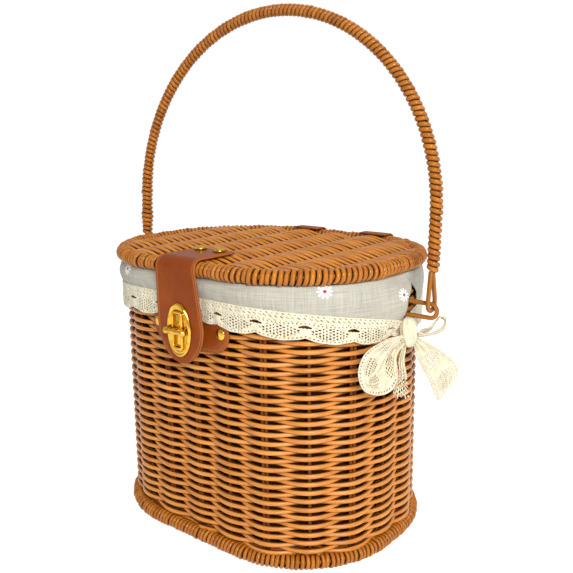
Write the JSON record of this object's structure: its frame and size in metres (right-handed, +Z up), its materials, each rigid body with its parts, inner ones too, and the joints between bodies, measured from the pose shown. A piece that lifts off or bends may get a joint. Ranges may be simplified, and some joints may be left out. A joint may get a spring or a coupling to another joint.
{
  "type": "picnic basket",
  "caption": "Oval woven picnic basket with a hinged lid, swinging wound bail handle, cloth liner with lace and a bow, and a leather strap with a turn-lock clasp.",
  "frame": {"origin": "on the surface that the basket stands on, midway between its frontmost and backmost points and between its two ends", "axes": "+Z up; +X along the oval to the right-hand end with the bow; the clasp faces -Y and the lid hinges at +Y"},
  "size_m": [0.3058, 0.2058, 0.4023],
  "materials": {
    "strand": "satin varnished wicker strand, honey brown",
    "stake": "satin varnished wicker rod, darker brown",
    "wire": "brown lacquered steel wire",
    "linen": "plain woven cotton-linen with small printed daisies",
    "lace": "cream cotton lace",
    "leather": "smooth tan leather",
    "brass": "polished brass plating"
  },
  "bodies": {
    "basket": {"base_rim": "strand", "base_ribs": "stake", "base_weaver": "strand", "stake_frame": "stake", "side_weaver": "strand", "liner_floor": "linen", "liner_front": "linen", "liner_back": "linen", "skirt_front": "linen", "skirt_back": "linen", "lace_front": "lace", "lace_back": "lace", "handle_ring_left": "wire", "handle_ring_right": "wire", "clasp_patch": "leather", "patch_rivet_left": "brass", "patch_rivet_right": "brass", "knob_seat": "brass", "hinge_tab_left": "leather", "hinge_tab_right": "leather", "bow_knot": "lace", "bow_loop_front": "lace", "bow_loop_back": "lace", "bow_tail_front": "lace", "bow_tail_back": "lace"},
    "lid": {"lid_rim": "strand", "lid_ribs": "stake", "lid_weaver": "strand", "strap": "leather", "strap_eyelet_left": "brass", "strap_eyelet_right": "brass", "hinge_loop_left": "leather", "hinge_loop_right": "leather"},
    "flap": {"flap": "leather", "clasp_plate": "brass", "clasp_back_plate": "brass"},
    "knob": {"turn_knob": "brass"},
    "handle": {"handle_wire": "wire", "handle_winding": "strand"}
  },
  "joints": [
    {"name": "lid_hinge", "type": "hinge", "parent": "basket", "child": "lid", "pos_m": [0, 0.09853, 0.2074], "axis": [-1, 0, 0], "range_deg": [0, 100]},
    {"name": "flap_fold", "type": "hinge", "parent": "lid", "child": "flap", "pos_m": [0, -0.09495, 0.2137], "axis": [-1, 0, 0], "range_deg": [0, 120]},
    {"name": "knob_turn", "type": "hinge", "parent": "basket", "child": "knob", "pos_m": [0.0015, -0.10075, 0.1695], "axis": [0, -1, 0], "range_deg": [0, 90]},
    {"name": "handle_swing", "type": "hinge", "parent": "basket", "child": "handle", "pos_m": [0, 0.00405, 0.19], "axis": [1, 0, 0], "range_deg": [-88, 92]}
  ]
}
